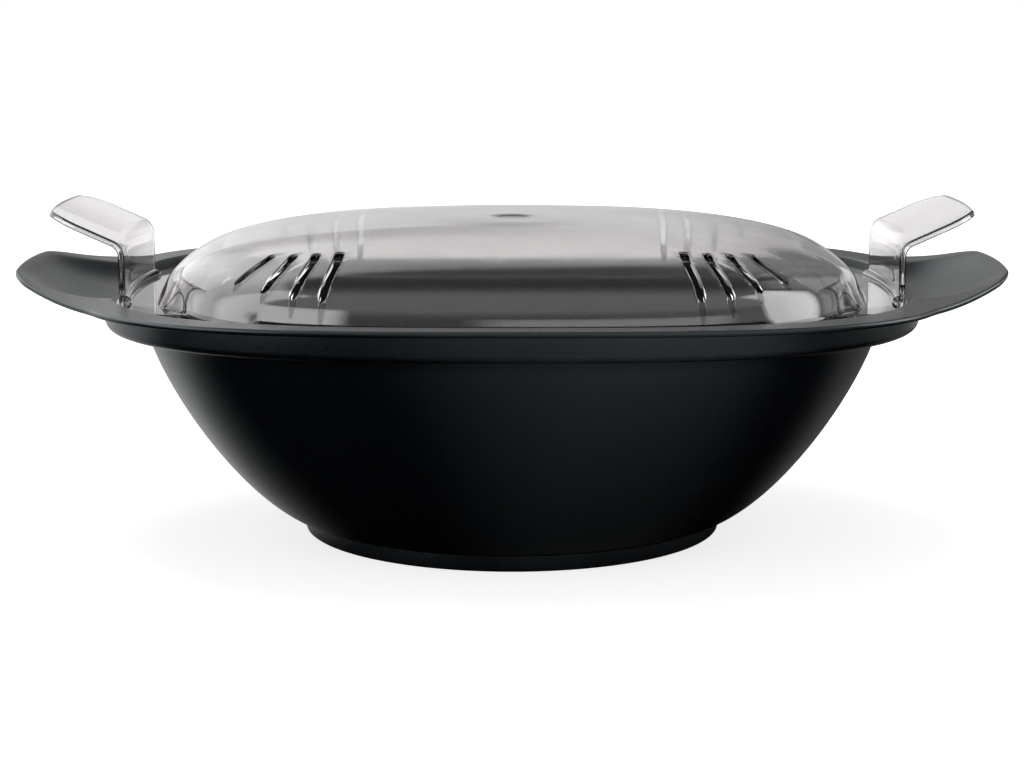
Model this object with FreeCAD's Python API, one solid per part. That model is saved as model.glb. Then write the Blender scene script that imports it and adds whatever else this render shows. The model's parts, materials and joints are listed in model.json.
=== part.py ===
import FreeCAD, Part
import math
import os

from FreeCAD import Vector

# Steaming attachment for a countertop cooking machine: a deep black bowl with
# two upturned ears, a slotted steaming tray, a clear lid with two handles, and
# the sealing ring in the bowl's foot. Millimetres. X runs from ear to ear,
# Y from front to back, Z up. The origin is the centre of the foot's underside.

# Walls and clearances
bowl_wall = 2.8
tray_wall = 2.0
lid_wall = 2.4
drop_in_clearance = 0.9
nesting_clearance = 2.6
cut_overrun = 1.0

# Foot ring, floor and steam slots
foot_radius = 90.0
foot_height = 7.0
foot_wall = 3.5
floor_top = 9.0
floor_slot_width = 3.2
floor_slot_rows = 3
floor_slots_per_row = 9
floor_hub_radius = 14.0
floor_slot_land = 5.0

# Sealing ring in the foot
seal_height = 4.2
seal_width = 3.0
seal_lip = 1.6
seal_inset = 0.6

# Bowl body: a round foot that flares up into a rounded rectangle
body_foot_radius = 92.0
body_half_length = 155.0
body_half_depth = 131.0
body_squareness = 2.8
flare_spread = 1.28
flare_power = 0.71
flare_stations = 9
flare_crowding = 1.7
slope_step = 0.25

# Collar, rim flange and the recess that holds tray and lid
rim_height = 107.0
rim_thickness = 2.4
collar_height = 12.5
collar_half_length = 171.0
collar_half_depth = 146.5
collar_squareness = 2.8
collar_rounding = 3.0
rim_half_length = 180.0
rim_half_depth = 147.4
rim_squareness = 3.2
recess_half_length = 167.5
recess_half_depth = 136.0
recess_squareness = 3.0
ledge_drop = 10.0

# Ears: the rim runs out past the collar and bends upwards
ear_reach = 208.0
ear_tip_half_width = 42.0
ear_tip_bulge = 1.2
ear_side_slope = 1.18
ear_corner_rounding = 9.0
ear_bend_start = 171.0
ear_bend_radius = 89.0
ear_bend_sweep = 30.0
scoop_half_width = 57.0
scoop_tip_half_width = 33.0
scoop_depth = 8.0
scoop_flatness = 4.0
scoop_fade = 2.2
scoop_tip_depth = 0.3
scoop_tip_margin = 1.0
scoop_overrun = 1.1
scoop_stations = 6
scoop_points = 16
ear_root_share = 0.87

# Steaming tray
tray_depth = 30.0
tray_rim_thickness = 2.0
tray_slot_width = 3.2
tray_slot_length = 32.0
tray_slot_pitch_x = 42.0
tray_slot_pitch_y = 12.0
tray_floor_margin = 6.0
tray_stations = 5

# Lid: flange, dome, end platforms and vent slots
lid_flange_thickness = 2.2
platform_rise = 2.0
platform_half_width = 52.0
dome_half_length = 144.2
dome_half_depth = 129.0
dome_squareness = 2.8
dome_height = 31.2
dome_crown = 2.4
dome_shoulder = 3.35
dome_shares = (0.0, 0.12, 0.26, 0.4, 0.54, 0.67, 0.78, 0.87, 0.93, 0.97, 0.99, 0.998)
pocket_margin = 7.2
gate_radius = 6.0
gate_depth = 0.8
vent_count = 4
vent_width = 3.3
vent_inner_x = 68.5
vent_inner_y = 83.3
vent_inner_pitch = 9.4
vent_inner_fall = 0.85
vent_outer_x = 72.8
vent_outer_pitch = 11.6
vent_outer_share = 0.968

# Lid handles: an upright curved plate that bends outwards into a paddle
handle_half_width = 44.5
handle_thickness = 2.6
handle_setback = 0.2
handle_plan_radius = 285.0
handle_upright = 19.0
handle_bend_radius = 4.9
handle_slope = 24.2
handle_paddle_length = 28.0
handle_corner_rounding = 11.0
handle_foot_fillet = 3.0

# Levels that follow from the sizes above
collar_bottom = rim_height - collar_height
ledge_height = rim_height - ledge_drop
tray_rim_top = ledge_height + tray_rim_thickness
lid_flange_top = tray_rim_top + lid_flange_thickness
platform_top = lid_flange_top + platform_rise
dome_top = platform_top + dome_height
far = 2 * ear_reach
outline_points = 32


def oval_radius(angle, half_length, half_depth, squareness):
    across = (abs(math.cos(angle)) / half_length) ** squareness
    along = (abs(math.sin(angle)) / half_depth) ** squareness
    return (across + along) ** (-1 / squareness)


def oval(half_length, half_depth, squareness, height):
    # closed smooth outline between an ellipse (squareness 2) and a rectangle
    points = []
    for step in range(outline_points):
        angle = 2 * math.pi * step / outline_points
        radius = oval_radius(angle, half_length, half_depth, squareness)
        points.append(Vector(radius * math.cos(angle), radius * math.sin(angle), height))
    curve = Part.BSplineCurve()
    curve.interpolate(Points=points, PeriodicFlag=True)
    return Part.Wire([curve.toShape()])


def oval_prism(half_length, half_depth, squareness, low, high):
    face = Part.Face(oval(half_length, half_depth, squareness, low))
    return face.extrude(Vector(0, 0, high - low))


def mirrored_x(shape):
    return shape.mirror(Vector(0, 0, 0), Vector(1, 0, 0))


def mirrored_y(shape):
    return shape.mirror(Vector(0, 0, 0), Vector(0, 1, 0))


def rounded_slot(start, end, width, low, high):
    # an upright cutter with round ends, from start to end in plan
    half = width / 2
    along = (end - start).normalize()
    side = Vector(-along.y, along.x, 0) * half
    nose = along * half
    edges = [
        Part.LineSegment(start + side, end + side).toShape(),
        Part.Arc(end + side, end + nose, end - side).toShape(),
        Part.LineSegment(end - side, start - side).toShape(),
        Part.Arc(start - side, start - nose, start + side).toShape(),
    ]
    face = Part.Face(Part.Wire(edges))
    face.translate(Vector(0, 0, low))
    return face.extrude(Vector(0, 0, high - low))


# Bowl body

def flare(height):
    # share of the way from the foot's size to the size under the rim
    share = (height - foot_height) / (collar_bottom - foot_height)
    share = min(max(share, 0.0), 1.0)
    return (1 - (1 - share) ** flare_spread) ** flare_power


def body_size(height):
    share = flare(height)
    half_length = body_foot_radius + (body_half_length - body_foot_radius) * share
    half_depth = body_foot_radius + (body_half_depth - body_foot_radius) * share
    squareness = 2 + (body_squareness - 2) * share
    return half_length, half_depth, squareness


def inner_size(height, wall):
    # the outer size at this height, less the wall measured square to the flare
    upper = body_size(height + slope_step)
    lower = body_size(height - slope_step)
    here = body_size(height)
    sizes = []
    for axis in (0, 1):
        slope = (upper[axis] - lower[axis]) / (2 * slope_step)
        sizes.append(here[axis] - wall * math.sqrt(1 + slope * slope))
    return sizes[0], sizes[1], here[2]


def body_levels(low, high):
    # closer together near the foot, where the flare turns fastest
    levels = []
    for step in range(flare_stations):
        share = (step / (flare_stations - 1)) ** flare_crowding
        levels.append(low + (high - low) * share)
    return levels


def body_outside():
    wires = []
    for height in body_levels(foot_height, collar_bottom):
        half_length, half_depth, squareness = body_size(height)
        wires.append(oval(half_length, half_depth, squareness, height))
    return Part.makeLoft(wires, True, False)


def body_inside(wall, low, high):
    wires = []
    for height in body_levels(low, collar_bottom) + [high]:
        half_length, half_depth, squareness = inner_size(height, wall)
        wires.append(oval(half_length, half_depth, squareness, height))
    return Part.makeLoft(wires, True, False)


def foot_ring():
    ring = Part.makeCylinder(foot_radius, foot_height)
    return ring.cut(Part.makeCylinder(foot_radius - foot_wall, foot_height))


def slotted_floor():
    # rows of radial slots round a closed hub
    low = floor_top - bowl_wall
    floor = Part.makeCylinder(foot_radius - foot_wall, bowl_wall, Vector(0, 0, low))
    slots = []
    usable = foot_radius - foot_wall - floor_slot_land - floor_hub_radius
    row_pitch = usable / floor_slot_rows
    for row in range(floor_slot_rows):
        inner = floor_hub_radius + row * row_pitch
        outer = inner + row_pitch - floor_slot_land - floor_slot_width
        count = floor_slots_per_row * (row + 1)
        for number in range(count):
            angle = 2 * math.pi * (number + 0.5) / count
            outward = Vector(math.cos(angle), math.sin(angle), 0)
            slots.append(rounded_slot(outward * inner, outward * outer,
                                      floor_slot_width, low - cut_overrun,
                                      floor_top + cut_overrun))
    return floor.cut(slots)


# Rim, collar and ears

def ear_rise(x):
    # height of the ear's top edge above the flat rim
    past = abs(x) - ear_bend_start
    if past <= 0:
        return 0.0
    return ear_bend_radius - math.sqrt(ear_bend_radius ** 2 - past ** 2)


def rim_slab():
    # side view of the rim plate: flat in the middle, bent up at both ends
    sweep = math.radians(ear_bend_sweep)
    centre = Vector(ear_bend_start, 0, rim_height + ear_bend_radius)

    def on_arc(radius, angle):
        return centre + Vector(radius * math.sin(angle), 0, -radius * math.cos(angle))

    top = [on_arc(ear_bend_radius, sweep * part / 2) for part in (0, 1, 2)]
    outer_radius = ear_bend_radius + rim_thickness
    under = [on_arc(outer_radius, sweep * part / 2) for part in (0, 1, 2)]

    def other(point):
        return Vector(-point.x, point.y, point.z)

    edges = [
        Part.LineSegment(other(top[0]), top[0]).toShape(),
        Part.Arc(top[0], top[1], top[2]).toShape(),
        Part.LineSegment(top[2], under[2]).toShape(),
        Part.Arc(under[2], under[1], under[0]).toShape(),
        Part.LineSegment(under[0], other(under[0])).toShape(),
        Part.Arc(other(under[0]), other(under[1]), other(under[2])).toShape(),
        Part.LineSegment(other(under[2]), other(top[2])).toShape(),
        Part.Arc(other(top[2]), other(top[1]), other(top[0])).toShape(),
    ]
    face = Part.Face(Part.Wire(edges))
    face.translate(Vector(0, -far, 0))
    return face.extrude(Vector(0, 2 * far, 0))


def ear_plan():
    # plan outline of one ear, running back under the rim
    root_x = recess_half_length * ear_root_share
    root = ear_tip_half_width + ear_side_slope * (ear_reach - root_x)
    tip = Vector(ear_reach + ear_tip_bulge, 0, 0)
    back = Vector(ear_reach, ear_tip_half_width, 0)
    front = Vector(ear_reach, -ear_tip_half_width, 0)
    root_back = Vector(root_x, root, 0)
    root_front = Vector(root_x, -root, 0)
    edges = [
        Part.LineSegment(root_back, back).toShape(),
        Part.Arc(back, tip, front).toShape(),
        Part.LineSegment(front, root_front).toShape(),
        Part.LineSegment(root_front, root_back).toShape(),
    ]
    plan = Part.Face(Part.Wire(edges)).extrude(Vector(0, 0, far))
    corners = []
    for edge in plan.Edges:
        first = edge.Vertexes[0].Point
        last = edge.Vertexes[-1].Point
        upright = abs(first.z - last.z) > far / 2
        if upright and first.x > ear_reach - 1:
            corners.append(edge)
    return plan.makeFillet(ear_corner_rounding, corners)


def rim_flange():
    ear = ear_plan()
    middle = oval_prism(rim_half_length, rim_half_depth, rim_squareness, 0, far)
    plan = middle.fuse([ear, mirrored_x(ear)])
    return rim_slab().common(plan)


def scoop_section(x, half_width, depth, extra, overrun, lift):
    # cross-section of the ear's scoop at one x: a flat-bottomed trough
    level = rim_height + ear_rise(x)
    points = []
    for step in range(scoop_points + 1):
        share = overrun * (-1 + 2 * step / scoop_points)
        fall = depth * (1 - abs(share) ** scoop_flatness)
        points.append(Vector(x, (half_width + extra) * share, level - fall - extra))
    curve = Part.BSplineCurve()
    curve.interpolate(points)
    first = points[0]
    last = points[-1]
    high_first = Vector(x, first.y, level + lift)
    high_last = Vector(x, last.y, level + lift)
    return Part.Wire([
        curve.toShape(),
        Part.LineSegment(last, high_last).toShape(),
        Part.LineSegment(high_last, high_first).toShape(),
        Part.LineSegment(high_first, first).toShape(),
    ])


def scoop(extra, overrun, lift, start):
    # the trough shallows and narrows towards the ear's tip
    wires = []
    end = ear_reach - scoop_tip_margin
    for step in range(scoop_stations):
        x = start + (end - start) * step / (scoop_stations - 1)
        share = max(0.0, (x - ear_bend_start) / (end - ear_bend_start))
        half_width = scoop_half_width - (scoop_half_width - scoop_tip_half_width) * share ** 2
        depth = scoop_depth * (1 - share ** scoop_fade) + scoop_tip_depth
        wires.append(scoop_section(x, half_width, depth, extra, overrun, lift))
    return Part.makeLoft(wires, True, False)


def collar():
    block = oval_prism(collar_half_length, collar_half_depth, collar_squareness,
                       collar_bottom, rim_height - rim_thickness / 2)
    lower = [edge for edge in block.Edges
             if abs(edge.BoundBox.ZMax - collar_bottom) < 0.01]
    return block.makeFillet(collar_rounding, lower)


def steamer_bowl():
    rim = rim_flange()
    belly = scoop(bowl_wall, 1, -rim_thickness / 2, ear_bend_start - ear_corner_rounding)
    belly = belly.common(Part.makeBox(2 * far, 2 * far, far,
                                      Vector(-far, -far, collar_bottom)))
    outside = body_outside().fuse([foot_ring(), collar(), rim, belly, mirrored_x(belly)])
    recess = oval_prism(recess_half_length, recess_half_depth, recess_squareness,
                        ledge_height, far)
    hollow = scoop(0, scoop_overrun, scoop_depth, recess_half_length - 2 * rim_thickness)
    inside = body_inside(bowl_wall, floor_top, ledge_height + cut_overrun)
    floor_seat = Part.makeCylinder(foot_radius - foot_wall, floor_top + cut_overrun)
    bowl = outside.cut([inside, recess, hollow, mirrored_x(hollow), floor_seat])
    return bowl.fuse(slotted_floor())


def foot_seal():
    # a ring with a lip, seated against the foot's inner wall and the floor
    outer = foot_radius - foot_wall
    top = floor_top - bowl_wall
    inner = outer - seal_width
    points = [
        Vector(outer, 0, top),
        Vector(inner, 0, top),
        Vector(inner, 0, top - seal_height / 2),
        Vector(inner - seal_lip, 0, top - seal_height),
        Vector(inner + seal_inset, 0, top - seal_height),
        Vector(outer, 0, top - seal_height / 2),
    ]
    face = Part.Face(Part.makePolygon(points + points[:1]))
    return face.revolve(Vector(0, 0, 0), Vector(0, 0, 1), 360)


# Steaming tray

def tray_shell(gap, high):
    # the bowl's inside, drawn in by a gap, from the tray's floor upwards
    low = ledge_height - tray_depth + gap
    inset = nesting_clearance + gap
    wires = []
    for step in range(tray_stations):
        height = low + (high - low) * step / (tray_stations - 1)
        size = inner_size(min(height - gap, collar_bottom), bowl_wall)
        wires.append(oval(size[0] - inset, size[1] - inset, size[2], height))
    return Part.makeLoft(wires, True, False)


def many_sided_prism(half_length, half_depth, squareness, low, high):
    # flat-sided stand-in for an oval prism, where the edge is buried in a floor
    points = []
    for step in range(outline_points + 1):
        angle = 2 * math.pi * step / outline_points
        radius = oval_radius(angle, half_length, half_depth, squareness)
        points.append(Vector(radius * math.cos(angle), radius * math.sin(angle), low))
    return Part.Face(Part.makePolygon(points)).extrude(Vector(0, 0, high - low))


def tray_floor_reach():
    floor_size = inner_size(ledge_height - tray_depth, bowl_wall)
    margin = nesting_clearance + tray_floor_margin
    return floor_size[0] - margin, floor_size[1] - margin, floor_size[2]


def slotted_tray_floor():
    # staggered rows of slots in a plate that closes the tray's walls
    reach_x, reach_y, squareness = tray_floor_reach()
    low = ledge_height - tray_depth
    plate = many_sided_prism(reach_x, reach_y, squareness, low, low + tray_wall)
    slots = []
    rows = int(reach_y / tray_slot_pitch_y)
    columns = int(reach_x / tray_slot_pitch_x)
    for row in range(-rows, rows + 1):
        for column in range(-columns, columns + 1):
            x = (column + (row % 2) / 2) * tray_slot_pitch_x
            y = row * tray_slot_pitch_y
            corner_x = abs(x) + tray_slot_length / 2 + tray_slot_width
            corner_y = abs(y) + tray_slot_width
            share = (corner_x / reach_x) ** squareness + (corner_y / reach_y) ** squareness
            if share > 1:
                continue
            half = (tray_slot_length - tray_slot_width) / 2
            slots.append(rounded_slot(Vector(x - half, y, 0), Vector(x + half, y, 0),
                                      tray_slot_width, low - cut_overrun,
                                      low + tray_wall + cut_overrun))
    return plate.cut(slots)


def steam_tray():
    rim = oval_prism(recess_half_length - drop_in_clearance,
                     recess_half_depth - drop_in_clearance,
                     recess_squareness, ledge_height, tray_rim_top)
    outside = tray_shell(0, ledge_height + tray_rim_thickness / 2).fuse(rim)
    inside = tray_shell(tray_wall, tray_rim_top + cut_overrun)
    reach_x, reach_y, squareness = tray_floor_reach()
    floor_seat = many_sided_prism(reach_x, reach_y, squareness,
                                  ledge_height - tray_depth - cut_overrun, ledge_height)
    return outside.cut([inside, floor_seat]).fuse(slotted_tray_floor())


# Lid

def dome(inset):
    # rounded dome over an oval, flat on top and steep at its foot
    height = dome_height - inset
    wires = []
    for share in dome_shares:
        scale = (1 - share ** dome_shoulder) ** (1 / dome_crown)
        wires.append(oval((dome_half_length - inset) * scale,
                          (dome_half_depth - inset) * scale,
                          dome_squareness, platform_top + height * share))
    return Part.makeLoft(wires, True, False)


def dome_foot(inset, low):
    return oval_prism(dome_half_length - inset, dome_half_depth - inset,
                      dome_squareness, low, platform_top)


def lid_outline(low, high, inset):
    return oval_prism(recess_half_length - drop_in_clearance - inset,
                      recess_half_depth - drop_in_clearance - inset,
                      recess_squareness, low, high)


def platform_band(half_width, low, high):
    length = 2 * recess_half_length
    return Part.makeBox(length, 2 * half_width, high - low,
                        Vector(-length / 2, -half_width, low))


def vent_slots():
    slots = []
    for number in range(vent_count):
        inner = Vector(vent_inner_x + number * vent_inner_pitch,
                       vent_inner_y - vent_inner_fall * number ** 2, 0)
        outer_x = vent_outer_x + number * vent_outer_pitch
        share = (outer_x / dome_half_length) ** dome_squareness
        limit = vent_outer_share ** dome_squareness
        outer_y = dome_half_depth * (limit - share) ** (1 / dome_squareness)
        slots.append(rounded_slot(inner, Vector(outer_x, outer_y, 0),
                                  vent_width, platform_top, dome_top + cut_overrun))
    group = Part.makeCompound(slots)
    pair = Part.makeCompound([group, mirrored_x(group)])
    return Part.makeCompound([pair, mirrored_y(pair)])


def handle_profile():
    # side view of one handle, from its root in the platform to the paddle's tip
    face_x = recess_half_length - drop_in_clearance - handle_setback
    inner_x = face_x - handle_thickness
    slope = math.radians(handle_slope)
    root = lid_flange_top
    bend_z = platform_top + handle_upright
    inner_radius = handle_bend_radius
    outer_radius = handle_bend_radius + handle_thickness
    centre = Vector(inner_x + outer_radius, 0, bend_z)
    turn = math.pi / 2 - slope

    def on_bend(radius, angle):
        return centre + Vector(-radius * math.cos(angle), 0, radius * math.sin(angle))

    along = Vector(math.cos(slope), 0, math.sin(slope)) * handle_paddle_length
    top_end = on_bend(outer_radius, turn) + along
    under_end = on_bend(inner_radius, turn) + along
    nose = (top_end + under_end) * 0.5 + along.normalize() * handle_thickness / 2
    edges = [
        Part.LineSegment(Vector(inner_x, 0, root), on_bend(outer_radius, 0)).toShape(),
        Part.Arc(on_bend(outer_radius, 0), on_bend(outer_radius, turn / 2),
                 on_bend(outer_radius, turn)).toShape(),
        Part.LineSegment(on_bend(outer_radius, turn), top_end).toShape(),
        Part.Arc(top_end, nose, under_end).toShape(),
        Part.LineSegment(under_end, on_bend(inner_radius, turn)).toShape(),
        Part.Arc(on_bend(inner_radius, turn), on_bend(inner_radius, turn / 2),
                 on_bend(inner_radius, 0)).toShape(),
        Part.LineSegment(on_bend(inner_radius, 0), Vector(face_x, 0, root)).toShape(),
        Part.LineSegment(Vector(face_x, 0, root), Vector(inner_x, 0, root)).toShape(),
    ]
    return Part.Face(Part.Wire(edges)), inner_x


def lid_handle():
    face, inner_x = handle_profile()
    axis = Vector(inner_x - handle_plan_radius, 0, 0)
    half_turn = 2 * math.degrees(math.asin(handle_half_width / handle_plan_radius))
    face.rotate(axis, Vector(0, 0, 1), -half_turn)
    plate = face.revolve(axis, Vector(0, 0, 1), 2 * half_turn)
    bound = plate.BoundBox
    start = inner_x - handle_half_width
    window = Part.makeBox(bound.XMax - start, 2 * handle_half_width,
                          bound.ZLength + 2 * cut_overrun,
                          Vector(start, -handle_half_width, bound.ZMin - cut_overrun))
    corners = []
    for edge in window.Edges:
        first = edge.Vertexes[0].Point
        last = edge.Vertexes[-1].Point
        if abs(first.z - last.z) > 1 and first.x > inner_x:
            corners.append(edge)
    window = window.makeFillet(handle_corner_rounding, corners)
    return plate.common(window)


def handle_fillet():
    # the curved bead where the handle meets its platform
    face, inner_x = handle_profile()
    axis = Vector(inner_x - handle_plan_radius, 0, 0)
    radius = handle_foot_fillet
    low = lid_flange_top
    corner = Vector(inner_x + handle_thickness / 2, 0, low)
    foot_point = Vector(inner_x - radius, 0, platform_top)
    top_point = Vector(inner_x, 0, platform_top + radius)
    middle = Vector(inner_x - radius * (1 - math.sqrt(0.5)), 0,
                    platform_top + radius * (1 - math.sqrt(0.5)))
    edges = [
        Part.LineSegment(corner, Vector(inner_x - radius, 0, low)).toShape(),
        Part.LineSegment(Vector(inner_x - radius, 0, low), foot_point).toShape(),
        Part.Arc(foot_point, middle, top_point).toShape(),
        Part.LineSegment(top_point, Vector(corner.x, 0, top_point.z)).toShape(),
        Part.LineSegment(Vector(corner.x, 0, top_point.z), corner).toShape(),
    ]
    bead = Part.Face(Part.Wire(edges))
    half_turn = math.degrees(math.asin(handle_half_width / handle_plan_radius))
    bead.rotate(axis, Vector(0, 0, 1), -half_turn)
    return bead.revolve(axis, Vector(0, 0, 1), 2 * half_turn)


def steam_lid():
    flange = lid_outline(tray_rim_top, lid_flange_top, 0)
    band = platform_band(platform_half_width, tray_rim_top, platform_top)
    platforms = lid_outline(tray_rim_top, platform_top, 0).common(band)
    handle = lid_handle()
    bead = handle_fillet()
    outside = flange.fuse([platforms, dome(0), dome_foot(0, tray_rim_top),
                           handle, mirrored_x(handle), bead, mirrored_x(bead)])
    inside = dome(lid_wall).fuse(dome_foot(lid_wall, tray_rim_top - cut_overrun))
    pocket = platform_band(platform_half_width - lid_wall, tray_rim_top - cut_overrun,
                           platform_top - lid_flange_thickness)
    pocket = pocket.common(lid_outline(tray_rim_top - cut_overrun, platform_top,
                                       pocket_margin))
    gate = Part.makeCylinder(gate_radius, 2 * gate_depth,
                             Vector(0, 0, dome_top - gate_depth))
    lid = outside.cut([inside, pocket, gate])
    return lid.cut(vent_slots())


def export(name, shape):
    shape = shape.removeSplitter()
    solids = shape.Solids
    result = solids[0] if len(solids) == 1 else Part.makeCompound(solids)
    result.exportStep("parts/" + name + ".step")
    box = result.BoundBox
    print(name, "solids", len(solids), "valid", result.isValid(),
          "volume %.0f" % result.Volume,
          "x %.1f %.1f y %.1f %.1f z %.1f %.1f" % (box.XMin, box.XMax, box.YMin,
                                                  box.YMax, box.ZMin, box.ZMax))


os.makedirs("parts", exist_ok=True)
export("steamer_bowl", steamer_bowl())
export("foot_seal", foot_seal())
export("steam_tray", steam_tray())
export("steam_lid", steam_lid())
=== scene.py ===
import json
import math

import bmesh
import bpy
from bpy.props import FloatProperty, FloatVectorProperty, IntProperty, PointerProperty
from mathutils import Matrix, Vector


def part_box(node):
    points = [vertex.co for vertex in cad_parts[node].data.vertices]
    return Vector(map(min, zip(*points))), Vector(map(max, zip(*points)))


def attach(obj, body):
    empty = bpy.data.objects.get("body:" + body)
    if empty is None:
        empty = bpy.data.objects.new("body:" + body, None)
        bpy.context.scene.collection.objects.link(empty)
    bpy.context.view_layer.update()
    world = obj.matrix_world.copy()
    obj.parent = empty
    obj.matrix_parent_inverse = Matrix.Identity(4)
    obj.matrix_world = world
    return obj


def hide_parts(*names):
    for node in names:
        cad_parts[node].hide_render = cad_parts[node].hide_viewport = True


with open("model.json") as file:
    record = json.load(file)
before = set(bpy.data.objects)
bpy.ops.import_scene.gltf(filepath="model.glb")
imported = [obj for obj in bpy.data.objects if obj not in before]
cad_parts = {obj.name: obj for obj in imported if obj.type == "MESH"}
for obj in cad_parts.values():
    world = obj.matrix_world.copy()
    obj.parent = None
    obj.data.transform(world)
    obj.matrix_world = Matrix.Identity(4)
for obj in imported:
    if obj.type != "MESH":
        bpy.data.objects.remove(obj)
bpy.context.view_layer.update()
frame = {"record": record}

bl_info = {
    "name": "Steaming attachment",
    "version": (1, 0, 0),
    "blender": (4, 5, 0),
    "location": "View3D > Sidebar > Steamer",
    "description": "Black steaming bowl with ears, slotted tray and clear domed lid",
    "category": "Object",
}

# Sizes are in metres, in the frame of the CAD model: X from ear to ear, Y to the back, Z up
BOWL_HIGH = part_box("steamer_bowl")[1]
TRAY_LOW, TRAY_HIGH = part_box("steam_tray")
LID_LOW, LID_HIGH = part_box("steam_lid")
SEAL_LOW, SEAL_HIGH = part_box("foot_seal")
FOOT_RADIUS = 0.001 * next(mount["dims"]["r_mm"] for mount in frame["record"]["mounts"]
                           if mount["name"] == "foot_ring")
FULL_TURN = 2 * math.pi
# faces that meet more flatly than this are shaded as one smooth surface
SHARP_ANGLE = math.radians(38)
# width in pixels of the picture that the camera was fitted to
PHOTO_WIDTH = 1024
# points around each piece
BOWL_POINTS = 480
SEAL_POINTS = 240
TRAY_POINTS = 240
LID_POINTS = 640
# the lid stands this much over the tray's rim, so that no faces coincide
SEAT_GAP = 0.00006
# the dimple on the lid's top: each radius with its share of the depth
DIMPLE_DEPTH = 0.0003
DIMPLE = ((0.002, 1.0), (0.0052, 1.0), (0.0058, 0.8), (0.0062, 0.2), (0.0068, 0.0),
          (0.011, 0.0))


def length(name, description, default):
    return FloatProperty(name=name, description=description, default=default,
                         unit="LENGTH", precision=5)


def number(name, description, default):
    return FloatProperty(name=name, description=description, default=default, precision=3)


class SteamerBowlSizes(bpy.types.PropertyGroup):
    foot_height: length("Foot height", "Height of the upright foot ring", 0.007)
    foot_wall: length("Foot wall", "Thickness of the foot ring", 0.0035)
    floor_top: length("Floor top", "Height of the bowl's floor inside", 0.009)
    wall: length("Wall", "Thickness of the bowl's wall and floor", 0.0028)
    body_foot_radius: length("Body foot radius", "Radius where the body leaves the foot", 0.092)
    body_half_length: length("Body half length", "Half length under the collar", 0.155)
    body_half_depth: length("Body half depth", "Half depth under the collar", 0.131)
    body_squareness: number("Body squareness", "Exponent of the body's oval", 2.8)
    flare_spread: number("Flare spread", "How soon the body spreads", 1.28)
    flare_power: number("Flare power", "How round the body's side is", 0.71)
    rim_height: length("Rim height", "Height of the flat rim", 0.107)
    rim_thickness: length("Rim thickness", "Thickness of the rim and ears", 0.0024)
    rim_half_length: length("Rim half length", "Half length of the rim's oval", 0.18)
    rim_squareness: number("Rim squareness", "Exponent of the rim's oval", 3.2)
    collar_height: length("Collar height", "From the rim down to the collar's underside", 0.0125)
    collar_half_length: length("Collar half length", "Half length of the collar", 0.171)
    collar_half_depth: length("Collar half depth", "Half depth of the collar", 0.1465)
    collar_rounding: length("Collar rounding", "Radius of the collar's lower edge", 0.003)
    recess_half_length: length("Recess half length", "Half length of the lid's recess", 0.1675)
    recess_half_depth: length("Recess half depth", "Half depth of the lid's recess", 0.136)
    recess_squareness: number("Recess squareness", "Exponent of the recess", 3.0)
    ear_bulge: length("Ear bulge", "How far the ear's tip bows out", 0.0026)
    ear_tip_half_width: length("Ear tip half width", "Half width of the ear's tip", 0.0436)
    ear_slope: number("Ear slope", "Run of the ear's side, across over along", 1.18)
    ear_root: length("Ear root", "Where the ear's side runs in under the rim", 0.1457)
    ear_bend_start: length("Ear bend start", "Where the ear starts to turn up", 0.166)
    ear_bend_radius: length("Ear bend radius", "Radius of the ear's upward bend", 0.105)
    scoop_half_width: length("Scoop half width", "Half width of the ear's scoop", 0.057)
    scoop_tip_half_width: length("Scoop tip half width", "Half width near the tip", 0.033)
    scoop_depth: length("Scoop depth", "Depth of the ear's scoop", 0.0083)
    slot_width: length("Slot width", "Width of the slots in the floor", 0.0032)


class SteamerTraySizes(bpy.types.PropertyGroup):
    wall: length("Wall", "Thickness of the tray", 0.002)
    gap: length("Gap", "Room between tray wall and bowl", 0.0026)
    slot_width: length("Slot width", "Width of the steam slots", 0.0032)
    slot_length: length("Slot length", "Length of the tray's slots", 0.032)
    slot_pitch_x: length("Slot pitch along", "Distance of the slots along X", 0.042)
    slot_pitch_y: length("Slot pitch across", "Distance of the rows of slots", 0.012)


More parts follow.
